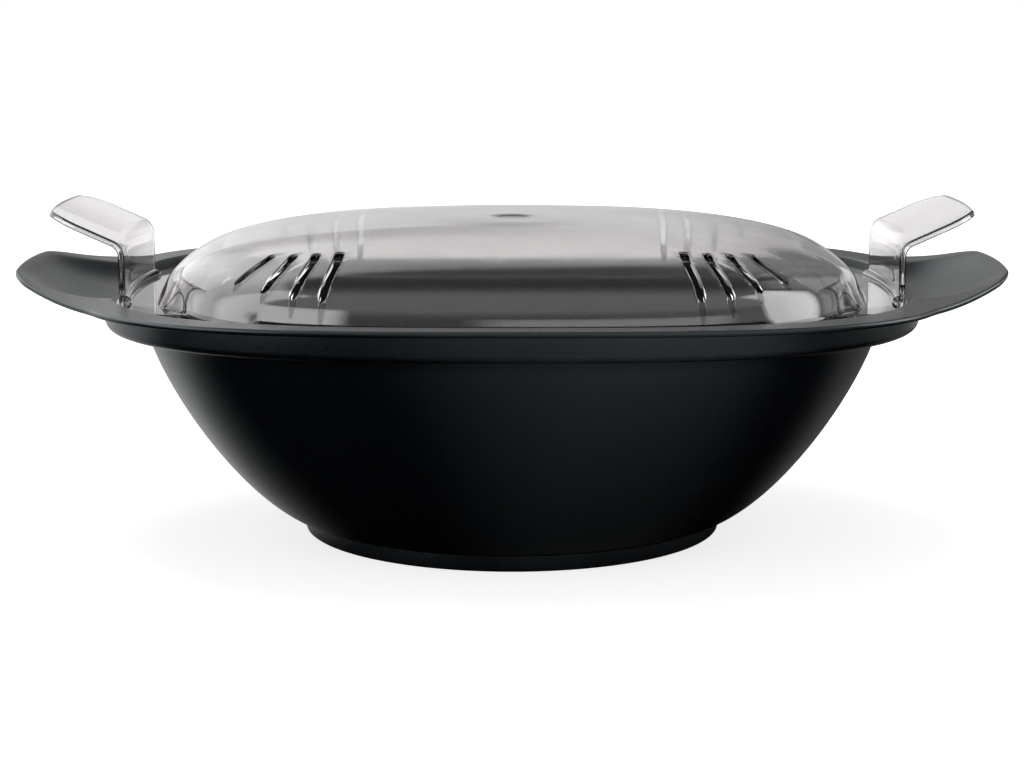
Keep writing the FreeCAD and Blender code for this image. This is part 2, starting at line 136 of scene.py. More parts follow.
class SteamerLidSizes(bpy.types.PropertyGroup):
    wall: length("Wall", "Thickness of the clear dome", 0.0024)
    flange_thickness: length("Flange thickness", "Thickness of the lid's flange", 0.0022)
    platform_rise: length("Platform rise", "Step from flange to end platform", 0.002)
    platform_half_width: length("Platform half width", "Half width of a platform", 0.078)
    dome_half_length: length("Dome half length", "Half length of the dome", 0.1438)
    dome_half_depth: length("Dome half depth", "Half depth of the dome", 0.129)
    dome_squareness: number("Dome squareness", "Exponent of the dome's oval", 2.8)
    dome_height: length("Dome height", "From the platforms to the top", 0.0312)
    dome_crown: number("Dome crown", "Exponent across the dome's top", 2.4)
    dome_shoulder: number("Dome shoulder", "Exponent down the dome's side", 3.28)
    end_foot: length("End wall foot", "Where the dome's leaning end walls stand", 0.1503)
    end_half_width: length("End wall half width", "Where their corners start to turn", 0.052)
    end_lean: number("End wall lean", "Run of the end walls over their rise", 0.5)
    corner_lean: number("Corner lean", "Run of the dome's corners over their rise", 0.62)
    front_lean: number("Front lean", "Run of the dome's front over its rise", 0.155)
    vent_count: IntProperty(name="Vents", description="Vent slots in each quarter", default=4)
    vent_width: length("Vent width", "Width of a vent slot", 0.0032)
    vent_edge: length("Vent edge", "Rounding of the vents' upper edges", 0.0008)
    handle_half_width: length("Handle half width", "Half width of a handle", 0.0445)
    handle_thickness: length("Handle thickness", "Thickness of the handle plate", 0.0026)
    handle_plan_radius: length("Handle plan radius", "Curve of the plate seen from above", 0.285)
    handle_upright: length("Handle upright", "Height of the upright part", 0.019)
    handle_bend_radius: length("Handle bend radius", "Radius under the bend", 0.0049)
    handle_slope: FloatProperty(name="Handle slope", description="Rise of the paddle",
                                default=math.radians(24.2), subtype="ANGLE")
    handle_paddle: length("Paddle length", "Length of the sloping paddle", 0.0283)
    handle_corner: length("Paddle corner", "Radius of the paddle's corners", 0.0145)


def colour(name, description, default):
    return FloatVectorProperty(name=name, description=description, default=default,
                               size=3, min=0.0, max=1.0, subtype="COLOR")


def linear(code):
    # a hex sRGB code as the linear colour that shaders use
    parts = [int(code[start:start + 2], 16) / 255 for start in (1, 3, 5)]
    return tuple(part / 12.92 if part <= 0.04045 else ((part + 0.055) / 1.055) ** 2.4
                 for part in parts)


class SteamerFinishes(bpy.types.PropertyGroup):
    bowl: colour("Bowl", "Deep black with a breath of blue", linear("#040509"))
    bowl_worn: colour("Bowl, paler", "Where the black is a little paler", linear("#06080C"))
    tray: colour("Tray", "Black of the tray", linear("#08090C"))
    seal: colour("Seal", "Grey silicone", linear("#3A3B3E"))
    lid: colour("Lid", "Tint of the clear plastic", linear("#DCD9D9"))


class SteamerStage(bpy.types.PropertyGroup):
    camera_distance: length("Camera distance", "From the object's middle plane", 1.042)
    camera_height: length("Camera height", "Above the floor", 0.2473)
    camera_pitch: FloatProperty(name="Camera pitch", description="Downward tilt",
                                default=0.1768, subtype="ANGLE")
    camera_focal: number("Focal length", "In photo pixels", 2430.0)
    floor_size: length("Floor size", "Side of the floor", 12.0)


# Outlines and profiles

def oval_radius(angle, half_length, half_depth, squareness):
    across = abs(math.cos(angle) / half_length) ** squareness
    along = abs(math.sin(angle) / half_depth) ** squareness
    return (across + along) ** (-1 / squareness)


def quarter(radius, steps=4):
    # runs (out, up) along a quarter circle, from flat to upright
    runs = []
    for step in range(steps + 1):
        angle = math.pi / 2 * step / steps
        runs.append((radius * math.sin(angle), radius * (1 - math.cos(angle))))
    return runs


def softer_min(first, second, blend):
    share = max(blend - abs(first - second), 0.0) / blend
    return min(first, second) - blend * share * share / 4


def softer_max(first, second, blend):
    return -softer_min(-first, -second, blend)


def collar_underside(sizes):
    return sizes.rim_height - sizes.collar_height


def tray_ledge():
    # height of the bowl's ledge, on which the tray's rim lies
    rim_thickness = 0.002
    return TRAY_HIGH[2] - rim_thickness


def tray_rim(bowl):
    # the outline that the tray's rim and the lid's flange share
    return TRAY_HIGH[0], TRAY_HIGH[1], bowl.recess_squareness


def recess_oval(bowl):
    return bowl.recess_half_length, bowl.recess_half_depth, bowl.recess_squareness


def foot_hole(bowl):
    radius = FOOT_RADIUS - bowl.foot_wall
    return radius, radius, 2


def flare(sizes, height):
    # share of the way from the foot's outline to the outline under the collar
    run = collar_underside(sizes) - sizes.foot_height
    share = (height - sizes.foot_height) / run
    share = min(max(share, 0.0), 1.0)
    return (1 - (1 - share) ** sizes.flare_spread) ** sizes.flare_power


def body_oval(sizes, height):
    share = flare(sizes, height)
    start = sizes.body_foot_radius
    return (start + (sizes.body_half_length - start) * share,
            start + (sizes.body_half_depth - start) * share,
            2 + (sizes.body_squareness - 2) * share)


def inner_oval(sizes, height, wall):
    # the body's oval, drawn in by a wall that is measured square to the flare
    step = 0.00025
    lower = body_oval(sizes, height - step)
    upper = body_oval(sizes, height + step)
    here = body_oval(sizes, height)
    drawn = []
    for axis in (0, 1):
        slope = (upper[axis] - lower[axis]) / (2 * step)
        drawn.append(here[axis] - wall * math.sqrt(1 + slope * slope))
    return drawn[0], drawn[1], here[2]


def ear_radius(sizes, angle):
    # the rim's outline in plan: an oval with an ear at each end
    oval = oval_radius(angle, sizes.rim_half_length, BOWL_HIGH[1], sizes.rim_squareness)
    run = abs(math.cos(angle))
    rise = abs(math.sin(angle))
    beside_the_ears = run < 0.3
    if beside_the_ears:
        return oval
    reach = BOWL_HIGH[0] - sizes.ear_bulge
    root = sizes.ear_tip_half_width + sizes.ear_slope * (reach - sizes.ear_root)
    side = (sizes.ear_tip_half_width + sizes.ear_slope * reach) / (rise + sizes.ear_slope * run)
    least_rise = 0.01
    side = min(side, root / max(rise, least_rise))
    across = min(reach * rise / run / sizes.ear_tip_half_width, 1.0)
    tip = (reach + sizes.ear_bulge * (1 - across * across)) / run
    corner_blend = 0.008
    root_blend = 0.0015
    ear = softer_min(side, tip, corner_blend)
    return softer_max(oval, ear, root_blend)


def even_angles(radius_at, count):
    # angles that share out the outline's length evenly
    fine = 10 * count
    places = []
    for step in range(fine + 1):
        angle = FULL_TURN * step / fine
        radius = radius_at(angle)
        places.append((radius * math.cos(angle), radius * math.sin(angle)))
    run = [0.0]
    for step in range(fine):
        run.append(run[-1] + math.dist(places[step], places[step + 1]))
    angles = []
    step = 0
    for index in range(count):
        target = run[-1] * index / count
        while run[step + 1] < target:
            step += 1
        part = (target - run[step]) / (run[step + 1] - run[step])
        angles.append(FULL_TURN * (step + part) / fine)
    return angles


def ear_rise(sizes, x):
    # how far the ear's upward bend has risen there
    past = max(abs(x) - sizes.ear_bend_start, 0.0)
    return sizes.ear_bend_radius - math.sqrt(sizes.ear_bend_radius ** 2 - past ** 2)


def rim_surface(sizes, x, y):
    # height of the rim's upper face, which rises into the ears and dips in their scoops
    level = sizes.rim_height + ear_rise(sizes, x)
    if abs(x) < sizes.recess_half_length / 2:
        return level
    tip_margin = 0.0022
    run = BOWL_HIGH[0] - tip_margin - sizes.ear_bend_start
    share = min(max((abs(x) - sizes.ear_bend_start) / run, 0.0), 1.0)
    narrowing = sizes.scoop_half_width - sizes.scoop_tip_half_width
    across = abs(y) / (sizes.scoop_half_width - narrowing * share ** 2)
    if across >= 1:
        return level
    # the scoop runs out softly towards the tip, and its floor is flat with round sides
    depth = sizes.scoop_depth * (1 - share ** 2.2)
    return level - depth * (1 - across ** 4) ** 1.15


# Mesh making

def ring_at(angles, radii, height_at):
    points = []
    for angle, radius in zip(angles, radii):
        x = radius * math.cos(angle)
        y = radius * math.sin(angle)
        points.append(Vector((x, y, height_at(x, y))))
    return points


def oval_ring(angles, oval, grow, height):
    radii = [oval_radius(angle, *oval) + grow for angle in angles]
    return ring_at(angles, radii, lambda x, y: height)


def rounded(angles, oval, edge, height, side=1, rise=1, steps=3):
    # rings along a rounded edge, from its flat face to its upright one: the edge ends an
    # outline, or with side -1 a hole, and turns up from that height, or with rise -1 down
    return [oval_ring(angles, oval, side * (out - edge), height + rise * up)
            for out, up in quarter(edge, steps)]


def loop_edges(bm, ring):
    return [bm.edges.get((ring[step - 1], ring[step])) for step in range(len(ring))]


def loft(bm, rings):
    # a circle, extruded from ring to ring, each laid on its own outline
    ring = bmesh.ops.create_circle(bm, segments=len(rings[0]), radius=1.0)["verts"]
    first = ring
    for vert, point in zip(ring, rings[0]):
        vert.co = point
    for points in rings[1:]:
        made = bmesh.ops.extrude_edge_only(bm, edges=loop_edges(bm, ring))["geom"]
        fresh = {item for item in made if isinstance(item, bmesh.types.BMVert)}
        upper = []
        for vert in ring:
            joined = [edge.other_vert(vert) for edge in vert.link_edges]
            upper.append(next(other for other in joined if other in fresh))
        for vert, point in zip(upper, points):
            vert.co = point
        ring = upper
    return first, ring


def closed_loft(rings):
    # the last ring is bridged to the first, as in a tube bent into a ring
    bm = bmesh.new()
    first, last = loft(bm, rings)
    bmesh.ops.bridge_loops(bm, edges=loop_edges(bm, first) + loop_edges(bm, last))
    return bm


def capped_loft(rings, bm=None):
    # both end rings are gathered into a point
    if bm is None:
        bm = bmesh.new()
    for ring in loft(bm, rings):
        middle = sum((vert.co for vert in ring), Vector()) / len(ring)
        bmesh.ops.pointmerge(bm, verts=ring, merge_co=middle)
    return bm


def raise_faces(bm, faces, height):
    made = bmesh.ops.extrude_face_region(bm, geom=faces)["geom"]
    verts = [item for item in made if isinstance(item, bmesh.types.BMVert)]
    bmesh.ops.translate(bm, verts=verts, vec=(0, 0, height))


def slot_prism(bm, start, end, width, low, high):
    # an upright cutter with round ends
    run = end - start
    reach = run.length + width
    made = bmesh.ops.create_grid(bm, x_segments=8, y_segments=1, size=0.5)["verts"]
    for vert in made:
        vert.co = (vert.co.x * reach, vert.co.y * width, low)
    turn = Matrix.Rotation(math.atan2(run.y, run.x), 3, "Z")
    bmesh.ops.rotate(bm, verts=made, matrix=turn)
    bmesh.ops.translate(bm, verts=made, vec=(start + end) / 2)
    corners = [vert for vert in made if len(vert.link_faces) == 1]
    raise_faces(bm, list({face for vert in made for face in vert.link_faces}), high - low)
    upright = [edge for vert in corners for edge in vert.link_edges
               if abs(edge.verts[0].co.z - edge.verts[1].co.z) > (high - low) / 2]
    # a hair under half the width, so that the two bevels of an end don't meet
    bmesh.ops.bevel(bm, geom=upright, offset=0.49 * width, segments=6, affect="EDGES",
                    profile=0.5, material=-1)


def mirrored_copies(bm, axes):
    # copies everything across the plane X = 0 for "X", and then across Y = 0 for "XY"
    for axis in axes:
        everything = bm.verts[:] + bm.edges[:] + bm.faces[:]
        copied = bmesh.ops.duplicate(bm, geom=everything)["geom"]
        verts = [item for item in copied if isinstance(item, bmesh.types.BMVert)]
        factor = (-1, 1, 1) if axis == "X" else (1, -1, 1)
        bmesh.ops.scale(bm, verts=verts, vec=factor)
    bmesh.ops.recalc_face_normals(bm, faces=bm.faces)


def loose_object(name, bm):
    bmesh.ops.remove_doubles(bm, verts=bm.verts, dist=1e-6)
    bmesh.ops.dissolve_degenerate(bm, edges=bm.edges, dist=1e-7)
    bmesh.ops.recalc_face_normals(bm, faces=bm.faces)
    mesh = bpy.data.meshes.new(name)
    bm.to_mesh(mesh)
    bm.free()
    made = bpy.data.objects.new(name, mesh)
    bpy.context.scene.collection.objects.link(made)
    return made


def combine(made, tool, operation):
    # joins the tool to the object, or cuts it away, and drops the tool
    modifier = made.modifiers.new("combine", "BOOLEAN")
    modifier.operation = operation
    modifier.solver = "EXACT"
    modifier.object = tool
    graph = bpy.context.evaluated_depsgraph_get()
    mesh = bpy.data.meshes.new_from_object(made.evaluated_get(graph))
    made.modifiers.clear()
    old = made.data
    made.data = mesh
    mesh.name = made.name
    bpy.data.meshes.remove(old)
    bpy.data.objects.remove(tool)
    if not mesh.polygons:
        raise RuntimeError("nothing is left of " + made.name)


def finish_piece(made, material, body):
    # smooth faces, sharp edges where the surface really turns, a material and a body
    bm = bmesh.new()
    bm.from_mesh(made.data)
    bmesh.ops.remove_doubles(bm, verts=bm.verts, dist=2e-6)
    for face in bm.faces:
        face.smooth = True
    for edge in bm.edges:
        edge.smooth = not edge.is_manifold or edge.calc_face_angle() < SHARP_ANGLE
    bm.to_mesh(made.data)
    bm.free()
    made.data.materials.clear()
    made.data.materials.append(material)
    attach(made, body)


# Materials

def new_material(name):
    material = bpy.data.materials.new(name)
    material.use_nodes = True
    return material, material.node_tree, material.node_tree.nodes["Principled BSDF"]


def set_inputs(tree, node, inputs):
    # an input gets a value, another node's output or the first output of a node
    for socket, value in inputs.items():
        if isinstance(value, bpy.types.Node):
            value = value.outputs[0]
        if isinstance(value, bpy.types.NodeSocket):
            tree.links.new(value, node.inputs[socket])
        else:
            node.inputs[socket].default_value = value


def add_node(tree, kind, inputs=None, **settings):
    node = tree.nodes.new(kind)
    for name, value in settings.items():
        setattr(node, name, value)
    set_inputs(tree, node, inputs or {})
    return node


def mottled(tree, place, size, detail, low, high):
    # a level that wanders from low to high over patches of that size in metres
    noise = add_node(tree, "ShaderNodeTexNoise",
                     {"Vector": place, "Scale": 1 / size, "Detail": detail})
    return add_node(tree, "ShaderNodeMapRange",
                    {"Value": noise, "From Min": 0.3, "From Max": 0.7,
                     "To Min": low, "To Max": high})


def relief(tree, place, size, detail, depth):
    # a surface that rises and falls by that depth over patches of that size
    noise = add_node(tree, "ShaderNodeTexNoise",
                     {"Vector": place, "Scale": 1 / size, "Detail": detail})
    return add_node(tree, "ShaderNodeBump",
                    {"Height": noise, "Strength": 1.0, "Distance": depth})


def moulded_black(name, base, paler, smooth, rough, shine):
    # Black thermoplastic, injection moulded against a fine spark-eroded steel mould. To
    # the eye it is a deep black with a breath of blue, and its satin gloss spreads each
    # lamp into a soft, slightly uneven glow.
    material, tree, shader = new_material(name)
    place = add_node(tree, "ShaderNodeTexCoord").outputs["Object"]

    # the melt leaves paler clouds of about 70 mm, barely visible
    shade = add_node(tree, "ShaderNodeMix",
                     {"Factor": mottled(tree, place, 0.0714, 2, 0.0, 0.6),
                      "A": (*base, 1), "B": (*paler, 1)}, data_type="RGBA")

    # the eroded grain is about 0.05 mm, too fine to show: its gloss is drawn in 1.4 mm
    # flecks and its pits are drawn 0.56 mm wide
    set_inputs(tree, shader, {
        "Base Color": shade.outputs["Result"],
        "Roughness": mottled(tree, place, 0.00143, 4, smooth, rough),
        "Normal": relief(tree, place, 0.000556, 2, 0.0000012),
        "IOR": 1.5,
        "Specular Tint": (*linear("#E9FBFF"), 1),
        "Specular IOR Level": shine,
    })
    return material


def silicone(name, base):
    # Silicone rubber, pressed in a matt mould. To the eye it is a dull dark grey with no
    # clear highlight.
    material, tree, shader = new_material(name)
    place = add_node(tree, "ShaderNodeTexCoord").outputs["Object"]

    # the mould's blasting is about 0.1 mm, too fine to show, and is drawn ten times wider
    set_inputs(tree, shader, {
        "Base Color": (*base, 1),
        "Roughness": mottled(tree, place, 0.0011, 3, 0.5, 0.62),
        "Normal": relief(tree, place, 0.0011, 3, 0.00001),
        "IOR": 1.41,
    })
    return material


def clear_copolyester(name, tint):
    # Clear copolyester, injection moulded in a polished mould. To the eye it is a
    # slightly grey glass that is darkest at its edges, with sharp reflections that
    # waver a little along its walls.
    material, tree, shader = new_material(name)
    place = add_node(tree, "ShaderNodeTexCoord").outputs["Object"]

    # washing dulls the polish in patches of about 17 mm, and the wall sinks and swells
    # by hundredths of a millimetre over about 45 mm
    set_inputs(tree, shader, {
        "Base Color": (*tint, 1),
        "Roughness": mottled(tree, place, 0.0167, 3, 0.015, 0.035),
        "Normal": relief(tree, place, 0.0455, 1, 0.00002),
        "IOR": 1.57,
        "Transmission Weight": 1.0,
    })
    return material


# Pieces

def body_rings(sizes, angles):
    # from the foot's lower edge up the body to the collar's underside
    foot = (FOOT_RADIUS, FOOT_RADIUS, 2)
    foot_edge = 0.0008
    rings = rounded(angles, foot, foot_edge, 0, steps=4)
    rings.append(oval_ring(angles, foot, 0, sizes.foot_height))
    step_out = sizes.body_foot_radius - FOOT_RADIUS
    rings.append(oval_ring(angles, foot, 0.8 * step_out, sizes.foot_height))

    # the levels are closer near the foot, where the flare is round
    collar_low = collar_underside(sizes)
    step_edge = 0.0002
    root = 0.0015
    levels = 28
    for step in range(levels + 1):
        share = (step / levels) ** 1.9
        height = (sizes.foot_height + step_edge
                  + (collar_low - root - sizes.foot_height) * share)
        rings.append(oval_ring(angles, body_oval(sizes, height), 0, height))
    body_top = body_oval(sizes, collar_low)
    for out, up in quarter(root)[1:]:
        rings.append(oval_ring(angles, body_top, up, collar_low - root + out))
    return rings


def rim_rings(sizes, angles):
    # around the collar's lower edge, out under the rim and ears, around their lip and
    # back on top into the lid's recess
    collar = (sizes.collar_half_length, sizes.collar_half_depth, sizes.body_squareness)
    collar_radii = [oval_radius(angle, *collar) for angle in angles]
    collar_low = collar_underside(sizes)
    outline = [ear_radius(sizes, angle) for angle in angles]
    rings = []

    def rim_top(x, y):
        return rim_surface(sizes, x, y)

    def rim_under(x, y):
        return rim_top(x, y) - sizes.rim_thickness

    # the collar's edge is less round where the scoops come down to it
    edges = []
    for angle, radius in zip(angles, collar_radii):
        room = rim_under(radius * math.cos(angle), radius * math.sin(angle)) - collar_low
        edges.append(min(sizes.collar_rounding, 0.8 * room))
    for out, up in quarter(1.0, 6):
        ring = []
        for angle, radius, edge in zip(angles, collar_radii, edges):
            radius -= edge * (1 - out)
            ring.append(Vector((radius * math.cos(angle), radius * math.sin(angle),
                                collar_low + edge * up)))
        rings.append(ring)

    lip = 0.0009
    least_run = 0.00005
    under_steps = 12
    for step in range(under_steps):
        share = step / under_steps
        radii = [start + max(reach - lip - start, least_run) * share
                 for start, reach in zip(collar_radii, outline)]
        rings.append(ring_at(angles, radii, rim_under))

    def lip_ring(inset, height_at):
        radii = [max(reach - inset, start + least_run)
                 for start, reach in zip(collar_radii, outline)]
        return ring_at(angles, radii, height_at)

    for out, up in quarter(lip, 3):
        rings.append(lip_ring(lip - out, lambda x, y: rim_under(x, y) + up))
    for out, up in reversed(quarter(lip, 3)):
        rings.append(lip_ring(lip - out, lambda x, y: rim_top(x, y) - up))

    edge = 0.0009
    inner = [oval_radius(angle, *recess_oval(sizes)) + edge for angle in angles]
    top_steps = 20
    for step in range(1, top_steps + 1):
        share = step / top_steps
        radii = [(reach - lip) * (1 - share) + end * share
                 for end, reach in zip(inner, outline)]
        rings.append(ring_at(angles, radii, rim_top))
    for out, up in quarter(edge, 3)[1:]:
        rings.append(ring_at(angles, [radius - out for radius in inner],
                             lambda x, y: rim_top(x, y) - up))
    return rings


def inside_rings(sizes, angles):
    # over the tray's ledge, down the body's inside and through the foot
    edge = 0.0006
    collar_low = collar_underside(sizes)
    mouth = inner_oval(sizes, collar_low, sizes.wall)
    rings = rounded(angles, recess_oval(sizes), edge, tray_ledge())[::-1]
    rings += rounded(angles, mouth, edge, tray_ledge(), side=-1, rise=-1)

    bend = 0.001
    levels = 26
    for step in range(levels + 1):
        share = 1 - (1 - step / levels) ** 1.8
        height = collar_low - (collar_low - sizes.floor_top - bend) * share
        rings.append(oval_ring(angles, inner_oval(sizes, height, sizes.wall), 0, height))
    floor_edge = inner_oval(sizes, sizes.floor_top + bend, sizes.wall)
    rings.append(oval_ring(angles, floor_edge, -1.6 * bend, sizes.floor_top))

    chamfer = 0.0005
    for grow, height in ((0, sizes.floor_top), (0, chamfer), (chamfer, 0)):
        rings.append(oval_ring(angles, foot_hole(sizes), grow, height))
    return rings


def bowl_rings(sizes, angles):
    return body_rings(sizes, angles) + rim_rings(sizes, angles) + inside_rings(sizes, angles)


def slotted_plate(name, outline, low, high, slots, width):
    # a flat plate of that outline, less its slots
    bm = bmesh.new()
    verts = bmesh.ops.create_circle(bm, cap_ends=True, segments=len(outline),
                                    radius=1.0)["verts"]
    for vert, point in zip(verts, outline):
        vert.co = (point.x, point.y, low)
    raise_faces(bm, bm.faces[:], high - low)
    plate = loose_object(name, bm)
    cutter = bmesh.new()
    overcut = 0.001
    for start, end in slots:
        slot_prism(cutter, start, end, width, low - overcut, high + overcut)
    combine(plate, loose_object(name + "_cutter", cutter), "DIFFERENCE")
    return plate


def bowl_floor_slots(sizes):
    # rows of radial slots around a plain hub, with plain land between the rows
    rows = 3
    hub = 0.014
    land = 0.005
    pitch = (FOOT_RADIUS - sizes.foot_wall - land - hub) / rows
    slots = []
    for row in range(rows):
        inner = hub + row * pitch
        outer = inner + pitch - land - sizes.slot_width
        count = 9 * (row + 1)
        for place in range(count):
            angle = FULL_TURN * (place + 0.5) / count
            outward = Vector((math.cos(angle), math.sin(angle), 0))
            slots.append((outward * inner, outward * outer))
    return slots


class STEAMER_OT_bowl(bpy.types.Operator):
    """Make the black bowl with its foot, collar, rim and ears"""
    bl_idname = "steamer.bowl"
    bl_label = "Bowl"

    def execute(self, context):
        sizes = context.scene.steamer_bowl
        finishes = context.scene.steamer_finishes
        material = moulded_black("Black polybutylene, satin moulded", finishes.bowl,
                                 finishes.bowl_worn, smooth=0.27, rough=0.33, shine=0.5)
        angles = even_angles(lambda angle: ear_radius(sizes, angle), BOWL_POINTS)
        bowl = loose_object("steamer_bowl_shell", closed_loft(bowl_rings(sizes, angles)))
        finish_piece(bowl, material, "bowl")
        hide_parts("steamer_bowl")

        ring = oval_ring(angles[::4], foot_hole(sizes), 0, 0)
        floor = slotted_plate("steamer_bowl_floor", ring, sizes.floor_top - sizes.wall,
                              sizes.floor_top, bowl_floor_slots(sizes), sizes.slot_width)
        finish_piece(floor, material, "bowl")
        return {"FINISHED"}


class STEAMER_OT_seal(bpy.types.Operator):
    """Make the sealing ring in the foot"""
    bl_idname = "steamer.seal"
    bl_label = "Foot seal"

    def execute(self, context):
        finishes = context.scene.steamer_finishes
        wall = 0.003
        lip = 0.0016
        lip_foot = 0.0006
        rounding = 0.0004
        outer = SEAL_HIGH[0]
        inner = outer - wall
        low = SEAL_LOW[2]
        high = SEAL_HIGH[2]
        middle = (low + high) / 2
        profile = [(outer, high), (inner, high), (inner, middle), (inner - lip, low),
                   (inner + lip_foot, low), (outer, middle)]
        bm = bmesh.new()
        corners = [bm.verts.new((x, 0, z)) for x, z in profile]
        bm.faces.new(corners)
        bmesh.ops.bevel(bm, geom=corners, offset=rounding, segments=3, affect="VERTICES",
                        profile=0.5, material=-1)
        bmesh.ops.spin(bm, geom=bm.edges[:], axis=(0, 0, 1), cent=(0, 0, 0),
                       steps=SEAL_POINTS, angle=FULL_TURN, use_merge=True)
        flat = [face for face in bm.faces if len(face.verts) > 4]
        bmesh.ops.delete(bm, geom=flat, context="FACES_ONLY")
        seal = loose_object("foot_seal_ring", bm)
        finish_piece(seal, silicone("Grey silicone, matt pressed", finishes.seal),
                     "bowl")
        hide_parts("foot_seal")
        return {"FINISHED"}


def tray_oval(bowl, tray, height, inset):
    # the tray's outline, which keeps its gap from the bowl's wall, less an inset
    size = inner_oval(bowl, min(height, collar_underside(bowl)), bowl.wall)
    return size[0] - tray.gap - inset, size[1] - tray.gap - inset, size[2]


def tray_rings(bowl, tray, angles, reach):
    # from the floor's edge out and up the outside, over the rim and down the inside
    low = TRAY_LOW[2]
    root = 0.003
    levels = 10
    rise = tray_ledge() - low - root

    rings = [oval_ring(angles, reach, 0, low)]
    rings += rounded(angles, tray_oval(bowl, tray, low + root, 0), root, low, steps=4)
    for step in range(1, levels + 1):
        height = low + root + rise * step / levels
        rings.append(oval_ring(angles, tray_oval(bowl, tray, height, 0), 0, height))

    rim_edge = 0.0006
    mouth_edge = 0.0008
    mouth = tray_oval(bowl, tray, tray_ledge(), tray.wall)
    rings += rounded(angles, tray_rim(bowl), rim_edge, tray_ledge())
    rings += rounded(angles, tray_rim(bowl), rim_edge, TRAY_HIGH[2], rise=-1)[::-1]
    rings += rounded(angles, mouth, mouth_edge, TRAY_HIGH[2], side=-1, rise=-1)

    low += tray.wall
    for step in reversed(range(levels)):
        height = low + root + rise * step / levels
        rings.append(oval_ring(angles, tray_oval(bowl, tray, height, tray.wall), 0, height))
    inside = tray_oval(bowl, tray, low + root, tray.wall)
    rings += rounded(angles, inside, root, low, steps=4)[:-1][::-1]
    rings.append(oval_ring(angles, reach, 0, low))
    return rings


def tray_slots(tray, reach):
    # staggered rows of slots, left out where they would come near the floor's edge
    slots = []
    rows = int(reach[1] / tray.slot_pitch_y)
    columns = int(reach[0] / tray.slot_pitch_x) + 1
    half = (tray.slot_length - tray.slot_width) / 2
    for row in range(-rows, rows + 1):
        for column in range(-columns, columns + 1):
            x = (column + (row % 2) / 2) * tray.slot_pitch_x
            y = row * tray.slot_pitch_y
            corner_x = (abs(x) + half + 1.5 * tray.slot_width) / reach[0]
            corner_y = (abs(y) + tray.slot_width) / reach[1]
            if corner_x ** reach[2] + corner_y ** reach[2] < 1:
                slots.append((Vector((x - half, y, 0)), Vector((x + half, y, 0))))
    return slots


class STEAMER_OT_tray(bpy.types.Operator):
    """Make the slotted tray that hangs inside the bowl"""
    bl_idname = "steamer.tray"
    bl_label = "Tray"

    def execute(self, context):
        bowl = context.scene.steamer_bowl
        tray = context.scene.steamer_tray
        finishes = context.scene.steamer_finishes
        # spread as on an ellipse of about the tray's proportions
        angles = even_angles(lambda angle: oval_radius(angle, 3, 2.5, 2), TRAY_POINTS)
        base = tray_oval(bowl, tray, TRAY_LOW[2], 0)
        margin = 3 * tray.wall
        reach = (base[0] - margin, base[1] - margin, base[2])
        shell = loose_object("steam_tray_shell",
                             closed_loft(tray_rings(bowl, tray, angles, reach)))
        material = moulded_black("Black polypropylene, satin moulded", finishes.tray,
                                 finishes.bowl_worn, smooth=0.52, rough=0.6, shine=0.3)
        finish_piece(shell, material, "tray")
        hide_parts("steam_tray")
        floor = slotted_plate("steam_tray_floor", oval_ring(angles, reach, 0, 0),
                              TRAY_LOW[2], TRAY_LOW[2] + tray.wall,
                              tray_slots(tray, reach), tray.slot_width)
        finish_piece(floor, material, "tray")
        return {"FINISHED"}


def lid_deck(lid):
    # height of the platforms' top, from which the dome rises
    return LID_LOW[2] + lid.flange_thickness + lid.platform_rise


def dome_station(lid, turn, height):
    # (share of the plan size, height) at a turn from 0 at the foot to a quarter on top
    return (max(math.cos(turn) ** (2 / lid.dome_crown), 0.0),
            lid_deck(lid) + height * math.sin(turn) ** (2 / lid.dome_shoulder))


def dome_stations(lid, inset):
    # from the dome's top, without its innermost part, down to its foot
    count = 36
    innermost = 0.12
    turns = [math.pi / 2 * (1 - step / count) ** 1.7 for step in range(count)]
    stations = [dome_station(lid, turn, lid.dome_height - inset) for turn in turns]
    return ([station for station in stations if station[0] > innermost]
            + [(1.0, lid_deck(lid))])


def end_wall(lid, y, height):
    # where the leaning wall at each end of the dome stands, along X: it follows the
    # handle's curve, turns in at its corners, rounds over on top, and leans more towards
    # its corners
    corner_curve = 26
    round_from = 0.007
    round_curve = 80
    leans_half_more_at = 0.0545
    up = max(height - lid_deck(lid), 0.0)
    turn = max(abs(y) - lid.end_half_width, 0.0)
    reach = lid.end_foot - y * y / (2 * lid.handle_plan_radius) - corner_curve * turn ** 2
    lean = lid.end_lean * up + round_curve * max(up - round_from, 0.0) ** 2
    return reach - lean * (1 + 0.5 * (abs(y) / leans_half_more_at) ** 4)


def smooth_share(value, start, end):
    # 0 up to the start and 1 from the end on, with a soft passage
    share = min(max((value - start) / (end - start), 0.0), 1.0)
    return share * share * (3 - 2 * share)


def dome_draft(lid, angle, height):
    # how far the dome stands in from its oval at that height: the corners, and less so
    # the front and back, lean from the foot on and meet the oval again at the top
    corner_across = (0.35, 0.62)
    corner_along = (0.62, 0.84)
    front_across = (0.62, 0.9)
    up = max(height - lid_deck(lid), 0.0)
    left = max(1 - up / lid.dome_height, 0.0)
    reach = oval_radius(angle, lid.dome_half_length, lid.dome_half_depth, lid.dome_squareness)
    along = abs(reach * math.cos(angle)) / lid.dome_half_length
    across = abs(reach * math.sin(angle)) / lid.dome_half_depth
    corner = smooth_share(across, *corner_across) * smooth_share(along, *corner_along)
    front = smooth_share(across, *front_across)
    return max(lid.corner_lean * corner, lid.front_lean * front) * up * left * left


